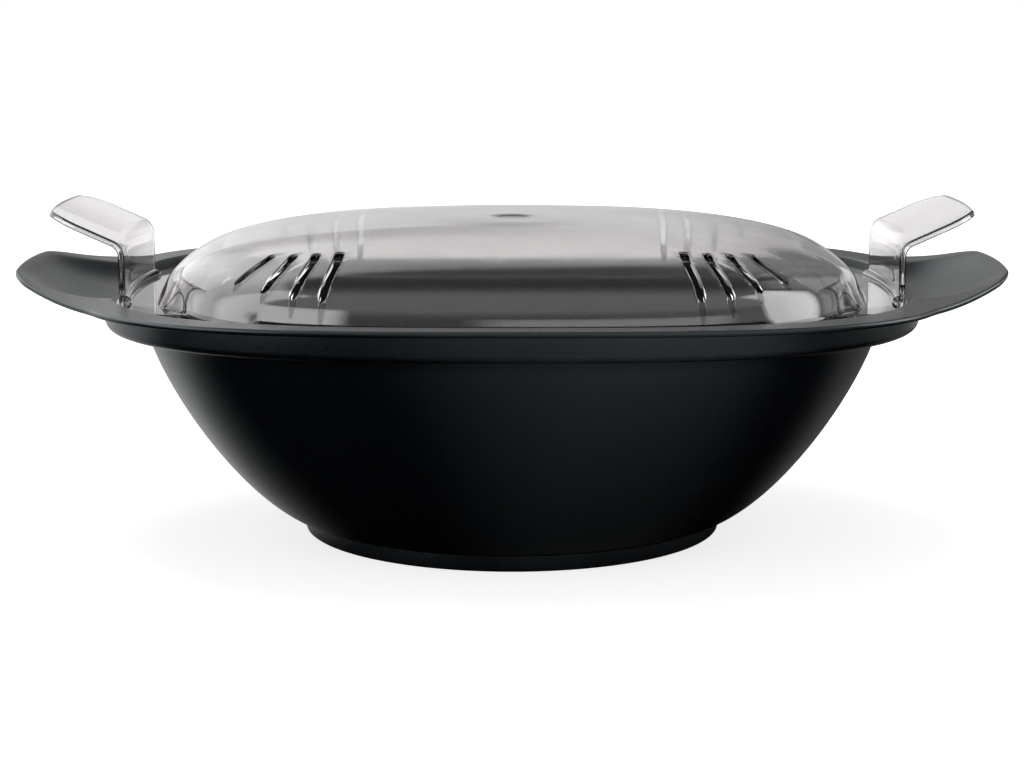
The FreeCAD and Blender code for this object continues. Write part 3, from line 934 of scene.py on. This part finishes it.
def dome_ring(lid, angles, plan, height, inset):
    # one level of the dome: its oval, or the end walls where they stand further out
    end_top = LID_LOW[2] + 0.024
    end_blend = 0.0026
    end_inset = 1.1 * inset
    ring = []
    for angle in angles:
        radius = oval_radius(angle, (lid.dome_half_length - inset) * plan,
                             (lid.dome_half_depth - inset) * plan, lid.dome_squareness)
        radius -= dome_draft(lid, angle, height) * plan
        x = radius * math.cos(angle)
        y = radius * math.sin(angle)
        if abs(x) > lid.dome_half_length / 2 and height < end_top:
            end = end_wall(lid, y, height) - end_inset
            x = math.copysign(softer_max(abs(x), end, end_blend), x)
        ring.append(Vector((x, y, height)))
    return ring


def lid_rings(bowl, lid, angles):
    # from the dimple on top down the outside, around the flange and up the inside
    low = LID_LOW[2] + SEAT_GAP
    flange_top = LID_LOW[2] + lid.flange_thickness
    top = lid_deck(lid) + lid.dome_height
    rings = [oval_ring(angles, (radius, radius, 2), 0, top - DIMPLE_DEPTH * share)
             for radius, share in DIMPLE]
    for plan, height in dome_stations(lid, 0):
        rings.append(dome_ring(lid, angles, plan, height, 0))

    root = 0.001
    foot = dome_ring(lid, angles, 1.0, flange_top + root, 0)
    rings.append(foot)
    for out, up in quarter(root, 3)[1:]:
        rings.append([point + Vector((point.x, point.y, 0)).normalized() * up
                      - Vector((0, 0, out)) for point in foot])

    edge = 0.0006
    rings += rounded(angles, tray_rim(bowl), edge, flange_top, rise=-1)
    rings += rounded(angles, tray_rim(bowl), edge, low)[::-1]
    rings.append(dome_ring(lid, angles, 1.0, low, lid.wall - edge))
    rings.append(dome_ring(lid, angles, 1.0, low + edge, lid.wall))
    for plan, height in reversed(dome_stations(lid, lid.wall)):
        rings.append(dome_ring(lid, angles, plan, height, lid.wall))
    crown = 0.008
    rings.append(oval_ring(angles, (crown, crown, 2), 0, top - lid.wall))
    return rings


def oval_reach(y, half_length, half_depth, squareness):
    # how far along X an oval reaches at that Y
    return half_length * (1 - (abs(y) / half_depth) ** squareness) ** (1 / squareness)


def platforms(bowl, lid):
    # the two flat landings between the dome's ends and the handles
    rows = 60
    bury = 0.0004
    margin = 0.0003
    rounding = 0.0006
    just_under = 0.0001
    low = LID_LOW[2] + bury
    top = lid_deck(lid)
    bm = bmesh.new()
    verts = bmesh.ops.create_grid(bm, x_segments=2, y_segments=rows, size=1.0)["verts"]
    for vert in verts:
        y = vert.co.y * lid.platform_half_width
        share = (vert.co.x + 1) / 2
        inner = oval_reach(y, lid.dome_half_length - lid.wall / 2,
                           lid.dome_half_depth - lid.wall / 2, lid.dome_squareness)
        inner = max(inner, end_wall(lid, y, top) - lid.wall / 2)
        outer = oval_reach(y, TRAY_HIGH[0] - margin, TRAY_HIGH[1], bowl.recess_squareness)
        vert.co = (inner + (outer - inner) * share, y, low)
    raise_faces(bm, bm.faces[:], top - low)
    bmesh.ops.recalc_face_normals(bm, faces=bm.faces)
    rim = [edge for edge in bm.edges
           if all(vert.co.z > top - just_under for vert in edge.verts)
           and edge.calc_face_angle(0) > 1]
    bmesh.ops.bevel(bm, geom=rim, offset=rounding, segments=3, affect="EDGES",
                    profile=0.5, material=-1)
    mirrored_copies(bm, "X")
    return bm


def handle_stations(lid):
    # (run, height, slope) along the plate's outer face, from its root to the paddle's tip
    platform = lid_deck(lid)
    bury = 0.0015
    upright_steps = 6
    stations = [(0.0, platform - bury, math.pi / 2)]
    for step in range(1, upright_steps + 1):
        stations.append((0.0, platform + lid.handle_upright * step / upright_steps,
                         math.pi / 2))
    steps = 12
    turn = math.pi / 2 - lid.handle_slope
    for step in range(1, steps + 1):
        angle = turn * step / steps
        run = lid.handle_bend_radius * (1 - math.cos(angle))
        rise = lid.handle_bend_radius * math.sin(angle)
        stations.append((run, platform + lid.handle_upright + rise, math.pi / 2 - angle))
    run, height, slope = stations[-1]
    corner = lid.handle_corner
    plain = lid.handle_paddle - corner
    plain_steps = 5
    lengths = [plain * step / plain_steps for step in range(1, plain_steps + 1)]
    lengths += [plain + corner * math.sin(math.pi / 2 * step / steps)
                for step in range(1, steps + 1)]
    for distance in lengths:
        stations.append((run + distance * math.cos(slope),
                         height + distance * math.sin(slope), slope))
    return stations


def handle_face():
    # where the handles' outer faces stand along X
    return TRAY_HIGH[0] - 0.0002


def handles(lid):
    # a plate that follows the stations, narrowed by a round corner at the paddle's tip
    stations = handle_stations(lid)
    columns = 44
    near_upright = 1.5
    near_square = 1.2
    rounding = 0.0008
    tip = stations[-1]
    bm = bmesh.new()
    verts = bmesh.ops.create_grid(bm, x_segments=len(stations) - 1, y_segments=columns,
                                  size=1.0)["verts"]
    for vert in verts:
        run, height, slope = stations[round((vert.co.x + 1) / 2 * (len(stations) - 1))]
        left = math.dist((run, height), (tip[0], tip[1]))
        into = max(lid.handle_corner - left, 0.0) if slope < near_upright else 0.0
        short = lid.handle_corner - math.sqrt(max(lid.handle_corner ** 2 - into ** 2, 0.0))
        y = vert.co.y * (lid.handle_half_width - short)
        bow = lid.handle_plan_radius - math.sqrt(lid.handle_plan_radius ** 2 - y * y)
        vert.co = (handle_face() + run - bow, y, height)
    bmesh.ops.recalc_face_normals(bm, faces=bm.faces)
    # the plate is thickened on its inner side, so its upright faces have to look out
    outward = sum((face.normal.x for face in bm.faces
                   if face.calc_center_median().z < stations[4][1]), 0.0)
    if outward < 0:
        bmesh.ops.reverse_faces(bm, faces=bm.faces)
    bm.normal_update()
    bmesh.ops.solidify(bm, geom=bm.faces[:], thickness=lid.handle_thickness)
    bmesh.ops.recalc_face_normals(bm, faces=bm.faces)
    rim = [edge for edge in bm.edges
           if edge.is_manifold and edge.calc_face_angle() > near_square]
    bmesh.ops.bevel(bm, geom=rim, offset=rounding, segments=3, affect="EDGES",
                    profile=0.5, material=-1)
    mirrored_copies(bm, "X")
    return bm


def beads(lid):
    # the round bead along the inner foot of each handle
    platform = lid_deck(lid)
    face = handle_face() - lid.handle_thickness
    size = 0.0028
    bury = 0.0007
    shorter = 0.0012
    points = [(face + bury, platform - bury), (face + bury, platform + size)]
    steps = 8
    for step in range(steps + 1):
        angle = math.pi / 2 * step / steps
        points.append((face - size * math.sin(angle), platform + size * math.cos(angle)))
    points.append((face - size, platform - bury))
    half_turn = math.asin((lid.handle_half_width - shorter) / lid.handle_plan_radius)
    centre = Vector((face - lid.handle_plan_radius, 0, 0))
    bm = bmesh.new()
    corners = [bm.verts.new((x, 0, z)) for x, z in points]
    start = bm.faces.new(corners)
    bmesh.ops.rotate(bm, verts=corners, cent=centre,
                     matrix=Matrix.Rotation(-half_turn, 3, "Z"))
    bmesh.ops.spin(bm, geom=[start] + list(start.edges) + corners, cent=centre,
                   axis=(0, 0, 1), angle=2 * half_turn, steps=36)
    mirrored_copies(bm, "X")
    return bm


def pockets(bowl, lid):
    # the hollows under the platforms, open below
    overcut = 0.001
    outer_wall = 3 * lid.wall
    inner_wall = 2.5 * lid.wall
    half = 0.62 * lid.platform_half_width
    bm = bmesh.new()
    verts = bmesh.ops.create_grid(bm, x_segments=1, y_segments=40, size=1.0)["verts"]
    for vert in verts:
        y = vert.co.y * half
        inner = end_wall(lid, y, LID_LOW[2]) - inner_wall
        outer = oval_reach(y, TRAY_HIGH[0] - outer_wall, TRAY_HIGH[1],
                           bowl.recess_squareness)
        vert.co = (inner if vert.co.x < 0 else outer, y, LID_LOW[2] - overcut)
    raise_faces(bm, bm.faces[:], overcut + lid.platform_rise)
    mirrored_copies(bm, "X")
    return bm


def dome_face(lid, x, y):
    # height of the dome's outer face over a point, found by halving
    angle = math.atan2(y, x)
    low = 0.0
    high = math.pi / 2
    for _ in range(30):
        turn = (low + high) / 2
        plan, height = dome_station(lid, turn, lid.dome_height)
        ring = dome_ring(lid, [angle], plan, height, 0)
        if math.hypot(ring[0].x, ring[0].y) > math.hypot(x, y):
            low = turn
        else:
            high = turn
    return height


def vent_outline(start, end, width, bow):
    # a slot with round ends, bowed sideways by a set amount
    run = end - start
    half = run.length / 2
    side_steps = 14
    end_steps = 8
    points = [(half * (2 * step / side_steps - 1), -width / 2)
              for step in range(side_steps + 1)]
    for step in range(1, end_steps):
        turn = math.pi * step / end_steps
        points.append((half + width / 2 * math.sin(turn), -width / 2 * math.cos(turn)))
    points += [(-along, -across) for along, across in points]
    turn = Matrix.Rotation(math.atan2(run.y, run.x), 3, "Z")
    outline = []
    for along, across in points:
        bowed = bow * (1 - (along / (half + width / 2)) ** 2)
        outline.append((start + end) / 2 + turn @ Vector((along, across + bowed, 0)))
    return outline


def vent_cutter(lid, start, end, bow):
    # rings from the platforms' height up the slot's walls, out around its rounded edge
    # and on up past the dome
    def ring(grow, height_at):
        outline = vent_outline(start, end, lid.vent_width + 2 * grow, bow)
        return [point + Vector((0, 0, height_at(point))) for point in outline]

    def over_face(rise):
        return lambda point: dome_face(lid, point.x, point.y) + rise

    edge = lid.vent_edge
    widest = 1.15 * edge
    rings = [ring(0, lambda point: lid_deck(lid))] * 2
    rings += [ring(out, over_face(up - edge)) for up, out in quarter(edge)[:-1]]
    rings.append(ring(widest, over_face(edge / 2)))
    rings += [ring(widest, lambda point: LID_HIGH[2])] * 2
    return rings


def vents(lid):
    # four bowed slots in each quarter of the dome. From slot to slot they start and end
    # further out along X. The upper end draws in, the lower end lies at a share of the
    # dome's plan, and the slots bow a little more.
    first_start = (0.0685, 0.0833)
    start_step = 0.0094
    start_draw = 0.00085
    first_end = 0.0728
    end_step = 0.0116
    end_plan = 0.968
    end_draw = 0.0011
    first_bow = 0.0012
    bow_step = 0.0003
    power = lid.dome_squareness
    bm = bmesh.new()
    for place in range(lid.vent_count):
        start = Vector((first_start[0] + start_step * place,
                        first_start[1] - start_draw * place ** 2, 0))
        end_x = first_end + end_step * place
        share = (end_x / lid.dome_half_length) ** power
        left = (end_plan - end_draw * place ** 3) ** power - share
        end = Vector((end_x, lid.dome_half_depth * left ** (1 / power), 0))
        capped_loft(vent_cutter(lid, start, end, first_bow + bow_step * place), bm)
    mirrored_copies(bm, "XY")
    return bm


class STEAMER_OT_lid(bpy.types.Operator):
    """Make the clear lid: dome, flange, platforms, vents and handles in one piece"""
    bl_idname = "steamer.lid"
    bl_label = "Lid"

    def execute(self, context):
        bowl = context.scene.steamer_bowl
        sizes = context.scene.steamer_lid
        finishes = context.scene.steamer_finishes
        # spread as on an oval of about the lid's proportions
        angles = even_angles(lambda angle: oval_radius(angle, 1.6, 1.3, 3), LID_POINTS)
        lid = loose_object("steam_lid_clear", capped_loft(lid_rings(bowl, sizes, angles)))
        for name, tool, operation in (("platforms", platforms(bowl, sizes), "UNION"),
                                      ("handles", handles(sizes), "UNION"),
                                      ("beads", beads(sizes), "UNION"),
                                      ("pockets", pockets(bowl, sizes), "DIFFERENCE"),
                                      ("vents", vents(sizes), "DIFFERENCE")):
            combine(lid, loose_object(name, tool), operation)
        finish_piece(lid, clear_copolyester("Clear copolyester, polished moulding",
                                            finishes.lid), "lid")
        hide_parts("steam_lid")
        return {"FINISHED"}


# Stage

# What gloss reflects. Each line is a lamp or a pale surface. Its level is the product of
# its ramps, and where lines overlap the brightest counts. A ramp names a place, where it
# starts and ends, and its level before and after. x, y and z are the parts of the
# direction; turn is degrees from the back, right positive, front is degrees from the
# front, right positive, and height is degrees over the horizon.
STUDIO = (
    # the ceiling, brighter towards the front
    (("y", -0.3, 0.4, 1.1, 0.2), ("z", 0.12, 0.55, 0.06, 1.0)),
    # the dim front of the room
    (("x", -0.15, 0.3, 0.05, 0.5), ("y", 0.1, -0.1, 0.0, 1.0)),
    # the far edge of the table, pale along the horizon
    (("x", -0.15, 0.12, 0.8, 0.32), ("y", 0.1, 0.3, 0.0, 1.0), ("z", 0.15, 0.18, 1.0, 0.0)),
    # softboxes at the front left, the left, the right and the back right
    (("turn", -154, -144, 0.0, 4.2), ("turn", -111, -101, 1.0, 0.0),
     ("height", -17.5, -10.5, 0.0, 1.0), ("height", 23.5, 30.5, 1.0, 0.0)),
    (("turn", -115, -105, 0.0, 3.6), ("turn", -75, -65, 1.0, 0.0),
     ("height", 4, 12, 0.0, 1.0), ("height", 56, 64, 1.0, 0.0)),
    (("turn", 60.5, 67.5, 0.0, 4.2), ("turn", 100.5, 107.5, 1.0, 0.0),
     ("height", -17.5, -10.5, 0.0, 1.0), ("height", 46.5, 53.5, 1.0, 0.0)),
    (("turn", 32, 40, 0.0, 0.7), ("turn", 56, 64, 1.0, 0.0),
     ("height", -14, -6, 0.0, 1.0), ("height", 41, 49, 1.0, 0.0)),
    # a low strip lamp in front
    (("front", -14, 2, 0.0, 3.2), ("front", 44, 60, 1.0, 0.0),
     ("height", -9, -7, 0.0, 1.0), ("height", 0.5, 2.5, 1.0, 0.0)),
    # a paler one above it, which draws the bright arc along the dome's foot
    (("front", -5, 1, 0.0, 1.9), ("front", 44, 60, 1.0, 0.0),
     ("height", 1, 2, 0.0, 1.0), ("height", 10, 13, 1.0, 0.0)),
)
# the large diffuser behind, which ends at the right and on a slant above, and the flag
# that dims a band of it
DIFFUSER = ((("slope", 0.58, 0.7, 1.0, 0.0), ("y", 0.05, 0.16, 0.0, 1.0),
             ("x", 0.05, 0.25, 1.0, 0.0), ("x", 0.0, -0.5, 0.62, 2.1)),)
FLAG = ((("z", 0.12, 0.18, 0.0, 1.0), ("z", 0.2, 0.29, 1.0, 0.0),
         ("x", -0.31, -0.17, 0.0, 1.0), ("x", -0.07, 0.07, 1.0, 0.0)),)
FLAG_DIMS = 0.5
# the white backdrop that shows through the lid
BACKDROP = ((("z", 0.5, 0.65, 1.0, 0.0),),)
SOFT_LIGHT = 0.5

# The same for the floor: pools of light and shade painted on it, which only gloss sees. Here x
# and y are metres and aside is their ratio in front.
FLOOR_PAINTED_LIGHT = (
    # a painted pool of light at the left
    (("x", -0.06, -0.11, 0.0, 1.0), ("y", -0.09, 0.06, 0.0, 0.85)),
    # painted shade, dim at the right
    (("x", 0.08, 0.14, 0.0, 1.0), ("y", -0.06, 0.03, 0.0, 0.16)),
    # a soft painted pool of light in front, right of the middle
    (("aside", -0.4, 0.25, 0.0, 1.0), ("aside", 0.5, 1.9, 1.0, 0.0),
     ("y", -0.04, -0.32, 0.0, 0.52)),
    # painted light behind
    (("y", 0.2, 0.5, 0.0, 0.5),),
)
# how much light the floor adds of its own, so that it stays white around the shadow
FLOOR_GLOW = 0.75

TOP_LAMP_PLACE = (-0.3, 0.5, 1.9)
TOP_LAMP_SIDE = 1.6
TOP_LAMP_WATTS = 22
TOP_LAMP_AIM = (0, 0, 0.08)


def brightest(tree, lines, places):
    # the highest of the lines at each place
    level = 0.0
    for ramps in lines:
        product = 1.0
        for place, start, end, before, after in ramps:
            ramp = add_node(tree, "ShaderNodeMapRange",
                            {"Value": places[place], "From Min": start, "From Max": end,
                             "To Min": before, "To Max": after},
                            interpolation_type="SMOOTHSTEP")
            product = add_node(tree, "ShaderNodeMath", {0: product, 1: ramp},
                               operation="MULTIPLY")
        level = add_node(tree, "ShaderNodeMath", {0: level, 1: product},
                         operation="MAXIMUM")
    return level


def make_world(scene):
    # white to the eye and through the lid, plain soft light on surfaces, and in
    # reflections a studio of softboxes
    world = bpy.data.worlds.new("studio")
    world.use_nodes = True
    tree = world.node_tree
    tree.nodes.clear()
    direction = add_node(tree, "ShaderNodeTexCoord").outputs["Generated"]
    x, y, z = add_node(tree, "ShaderNodeSeparateXYZ", {0: direction}).outputs
    ahead = add_node(tree, "ShaderNodeMath", {0: y, 1: -1.0}, operation="MULTIPLY")
    slope = add_node(tree, "ShaderNodeMath", {0: x, 1: 0.5, 2: z}, operation="MULTIPLY_ADD")
    places = {"x": x, "y": y, "z": z, "slope": slope}
    for name, inputs, operation in (("turn", {0: x, 1: y}, "ARCTAN2"),
                                    ("front", {0: x, 1: ahead}, "ARCTAN2"),
                                    ("height", {0: z}, "ARCSINE")):
        angle = add_node(tree, "ShaderNodeMath", inputs, operation=operation)
        places[name] = add_node(tree, "ShaderNodeMath", {0: angle}, operation="DEGREES")

    flag = brightest(tree, FLAG, places)
    dimmed = add_node(tree, "ShaderNodeMath", {0: flag, 1: -FLAG_DIMS, 2: 1.0},
                      operation="MULTIPLY_ADD")
    diffuser = add_node(tree, "ShaderNodeMath",
                        {0: brightest(tree, DIFFUSER, places), 1: dimmed},
                        operation="MULTIPLY")
    mirrored = add_node(tree, "ShaderNodeMath",
                        {0: brightest(tree, STUDIO, places), 1: diffuser},
                        operation="MAXIMUM")
    through = add_node(tree, "ShaderNodeMath",
                       {0: brightest(tree, BACKDROP, places), 1: mirrored},
                       operation="MAXIMUM")

    path = add_node(tree, "ShaderNodeLightPath").outputs
    strength = path["Is Camera Ray"]
    for ray, level in (("Is Diffuse Ray", SOFT_LIGHT), ("Is Glossy Ray", mirrored),
                       ("Is Transmission Ray", through)):
        share = add_node(tree, "ShaderNodeMath", {0: path[ray], 1: level},
                         operation="MULTIPLY")
        strength = add_node(tree, "ShaderNodeMath", {0: strength, 1: share},
                            operation="MAXIMUM")
    light = add_node(tree, "ShaderNodeBackground",
                     {"Color": (*linear("#FFFFFF"), 1), "Strength": strength})
    add_node(tree, "ShaderNodeOutputWorld", {"Surface": light})
    scene.world = world


def floor_material():
    # Pale matt card, as it comes off the roll. To the eye it is white with a light shadow, and
    # the bowl's gloss sees it with the pools of light and shade painted on it, listed above.
    material, tree, shader = new_material("Pale matt card")
    set_inputs(tree, shader, {"Base Color": (*linear("#E7E7E7"), 1), "Roughness": 0.9,
                              "Specular IOR Level": 0.0})
    place = add_node(tree, "ShaderNodeTexCoord").outputs["Object"]
    x, y, _ = add_node(tree, "ShaderNodeSeparateXYZ", {0: place}).outputs
    # a little in front of the middle at the least, so that the ratio stays finite
    least_ahead = 0.02
    nearer = add_node(tree, "ShaderNodeMath", {0: y, 1: -least_ahead}, operation="MINIMUM")
    ahead = add_node(tree, "ShaderNodeMath", {0: nearer, 1: -1.0}, operation="MULTIPLY")
    aside = add_node(tree, "ShaderNodeMath", {0: x, 1: ahead}, operation="DIVIDE")
    # the painted light and shade on the floor, which glows with it in gloss though it is no lamp
    level = brightest(tree, FLOOR_PAINTED_LIGHT, {"x": x, "y": y, "aside": aside})

    path = add_node(tree, "ShaderNodeLightPath").outputs
    seen = add_node(tree, "ShaderNodeMath",
                    {0: path["Is Camera Ray"], 1: path["Is Transmission Ray"]},
                    operation="MAXIMUM")
    mirrored = add_node(tree, "ShaderNodeEmission", {"Strength": level})
    glow = add_node(tree, "ShaderNodeEmission", {"Strength": FLOOR_GLOW})
    card = add_node(tree, "ShaderNodeAddShader", {0: shader, 1: glow})
    unseen = add_node(tree, "ShaderNodeMixShader",
                      {0: path["Is Glossy Ray"], 1: shader, 2: mirrored})
    surface = add_node(tree, "ShaderNodeMixShader", {0: seen, 1: unseen, 2: card})
    set_inputs(tree, tree.nodes["Material Output"], {"Surface": surface})
    return material


class STEAMER_OT_stage(bpy.types.Operator):
    """Make the floor, the lights and the camera"""
    bl_idname = "steamer.stage"
    bl_label = "Stage"

    def execute(self, context):
        scene = context.scene
        stage = scene.steamer_stage
        bm = bmesh.new()
        bmesh.ops.create_grid(bm, x_segments=1, y_segments=1, size=stage.floor_size / 2)
        floor = loose_object("floor", bm)
        floor.data.materials.append(floor_material())
        make_world(scene)
        data = bpy.data.lights.new("top_softbox", "AREA")
        data.size = TOP_LAMP_SIDE
        data.energy = TOP_LAMP_WATTS
        top = bpy.data.objects.new("top_softbox", data)
        top.location = TOP_LAMP_PLACE
        downwards = Vector(TOP_LAMP_AIM) - top.location
        top.rotation_euler = downwards.to_track_quat("-Z", "Y").to_euler()
        top.visible_glossy = False
        top.visible_transmission = False
        scene.collection.objects.link(top)
        data = bpy.data.cameras.new("camera")
        data.sensor_width = 36.0
        data.lens = data.sensor_width * stage.camera_focal / PHOTO_WIDTH
        camera = bpy.data.objects.new("camera", data)
        camera.location = (0, -stage.camera_distance, stage.camera_height)
        camera.rotation_euler = (math.pi / 2 - stage.camera_pitch, 0, 0)
        scene.collection.objects.link(camera)
        scene.camera = camera
        scene.view_settings.view_transform = "Standard"
        return {"FINISHED"}


OPERATORS = (STEAMER_OT_bowl, STEAMER_OT_seal, STEAMER_OT_tray, STEAMER_OT_lid,
             STEAMER_OT_stage)
GROUPS = {"steamer_bowl": SteamerBowlSizes, "steamer_tray": SteamerTraySizes,
          "steamer_lid": SteamerLidSizes, "steamer_finishes": SteamerFinishes,
          "steamer_stage": SteamerStage}


class STEAMER_PT_panel(bpy.types.Panel):
    """Lists the pieces of the steaming attachment"""
    bl_idname = "STEAMER_PT_panel"
    bl_label = "Steaming attachment"
    bl_space_type = "VIEW_3D"
    bl_region_type = "UI"
    bl_category = "Steamer"

    def draw(self, context):
        for operator in OPERATORS:
            self.layout.operator(operator.bl_idname)
        for name, group in GROUPS.items():
            box = self.layout.box()
            for key in group.__annotations__:
                box.prop(getattr(context.scene, name), key)


def register():
    for group in GROUPS.values():
        bpy.utils.register_class(group)
    for name, group in GROUPS.items():
        setattr(bpy.types.Scene, name, PointerProperty(type=group))
    for operator in OPERATORS:
        bpy.utils.register_class(operator)
    bpy.utils.register_class(STEAMER_PT_panel)


def unregister():
    bpy.utils.unregister_class(STEAMER_PT_panel)
    for operator in reversed(OPERATORS):
        bpy.utils.unregister_class(operator)
    for name in GROUPS:
        delattr(bpy.types.Scene, name)
    for group in reversed(list(GROUPS.values())):
        bpy.utils.unregister_class(group)


def main():
    register()
    bpy.ops.steamer.bowl()
    bpy.ops.steamer.seal()
    bpy.ops.steamer.tray()
    bpy.ops.steamer.lid()
    bpy.ops.steamer.stage()


if __name__ == "__main__":
    main()
